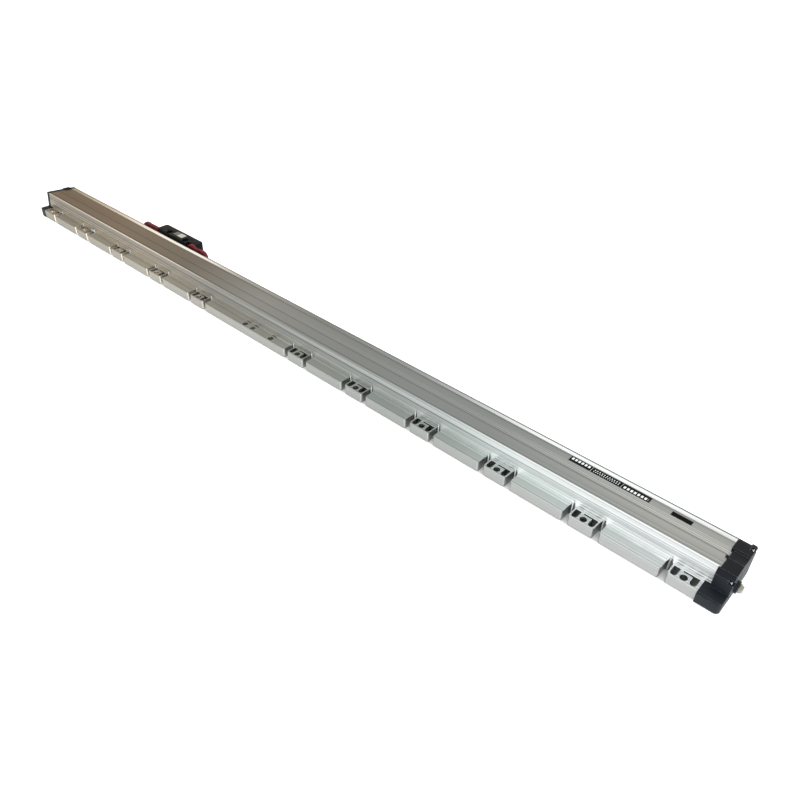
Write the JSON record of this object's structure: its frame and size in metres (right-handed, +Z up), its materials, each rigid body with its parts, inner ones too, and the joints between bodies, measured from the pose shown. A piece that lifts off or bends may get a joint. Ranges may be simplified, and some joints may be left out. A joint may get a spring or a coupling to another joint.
{
  "type": "linear glass scale",
  "caption": "Sealed linear encoder: a long aluminium extrusion with a sprung bolting flange and dark end caps, and a black scanning unit that slides along its back on a glass strip.",
  "frame": {"origin": "axis of the centre fixing hole at the mounting face, half way along the housing", "axes": "+X along the housing towards the end with the air connector, +Y from the row of fixing holes towards the scanning unit, +Z up from the mounting face"},
  "size_m": [1.174, 0.0877, 0.0366],
  "materials": {
    "extrusion": "natural extruded, satin with fine draw lines",
    "scale_glass": "polished float glass with a graduation track",
    "adhesive": "soft grey elastic bed",
    "lip_rubber": "black polyurethane, matt",
    "cap_plastic": "blue-black, fine grained",
    "gasket_rubber": "matt black sheet",
    "zinc_screw": "bright zinc plated",
    "nickel_brass": "nickel plated brass, warm",
    "dark_film": "black printed film, semi-gloss",
    "block_paint": "black anodised die casting, satin",
    "cover_paint": "black sheet cover, satin",
    "board_laminate": "green solder mask",
    "nickel_shell": "nickel plated, dull",
    "insert_plastic": "black moulded insert",
    "silver_film": "silver printed film, bare",
    "web_steel": "ground stainless steel",
    "carriage_metal": "bead-blasted casting",
    "lamp_body": "dark moulded housing",
    "lens_glass": "clear moulded lens",
    "reticle_glass": "clear glass, chrome graduation",
    "silicon": "dark silicon dies",
    "pin_steel": "ground dowel steel",
    "roller_steel": "bearing steel, polished",
    "red_plastic": "dark red moulded strip",
    "black_screw": "black oxide"
  },
  "bodies": {
    "scale": {"housing": "extrusion", "glass_scale": "scale_glass", "scale_adhesive": "adhesive", "upper_sealing_lip": "lip_rubber", "lower_sealing_lip": "lip_rubber", "end_cap_right": "cap_plastic", "end_cap_left": "cap_plastic", "end_gasket_right": "gasket_rubber", "end_gasket_left": "gasket_rubber", "cap_screws_right": "zinc_screw", "cap_screws_left": "zinc_screw", "air_fitting": "nickel_brass", "air_plug": "zinc_screw", "type_plate": "dark_film", "small_plate": "dark_film"},
    "scanning_unit": {"mounting_block": "block_paint", "block_cover": "cover_paint", "cover_screws": "zinc_screw", "interface_board": "board_laminate", "cable_socket": "nickel_shell", "socket_insert": "insert_plastic", "unit_plate": "silver_film", "sealing_web": "web_steel", "web_screws": "zinc_screw", "scanning_carriage": "carriage_metal", "light_unit": "lamp_body", "condenser_lens": "lens_glass", "scanning_reticle": "reticle_glass", "detector_board": "board_laminate", "photodetectors": "silicon", "edge_roller_pins": "pin_steel", "top_roller_pins": "pin_steel", "transport_bracket_left": "red_plastic", "transport_bracket_right": "red_plastic", "bracket_screws": "black_screw"},
    "top_roller_left_body": {"top_roller_left": "roller_steel"},
    "top_roller_right_body": {"top_roller_right": "roller_steel"},
    "edge_roller_left_body": {"edge_roller_left": "roller_steel"},
    "edge_roller_right_body": {"edge_roller_right": "roller_steel"}
  },
  "joints": [
    {"name": "scan_slide", "type": "slide", "parent": "scale", "child": "scanning_unit", "axis": [1, 0, 0], "range_m": [-0.2315, 0.8085]},
    {"name": "top_roller_left_spin", "type": "hinge", "parent": "scanning_unit", "child": "top_roller_left_body", "pos_m": [-0.3095, 0.0315, 0.02104], "axis": [0, 1, 0], "continuous": true},
    {"name": "top_roller_right_spin", "type": "hinge", "parent": "scanning_unit", "child": "top_roller_right_body", "pos_m": [-0.2675, 0.0315, 0.02104], "axis": [0, 1, 0], "continuous": true},
    {"name": "edge_roller_left_spin", "type": "hinge", "parent": "scanning_unit", "child": "edge_roller_left_body", "pos_m": [-0.3095, 0.04004, 0.016], "axis": [0, 0, 1], "continuous": true},
    {"name": "edge_roller_right_spin", "type": "hinge", "parent": "scanning_unit", "child": "edge_roller_right_body", "pos_m": [-0.2675, 0.04004, 0.016], "axis": [0, 0, 1], "continuous": true}
  ],
  "couplings": [
    {"joint": "top_roller_left_spin", "follows": "scan_slide", "rad_per_m": 333.33},
    {"joint": "top_roller_right_spin", "follows": "scan_slide", "rad_per_m": 333.33},
    {"joint": "edge_roller_left_spin", "follows": "scan_slide", "rad_per_m": -333.33},
    {"joint": "edge_roller_right_spin", "follows": "scan_slide", "rad_per_m": -333.33}
  ]
}
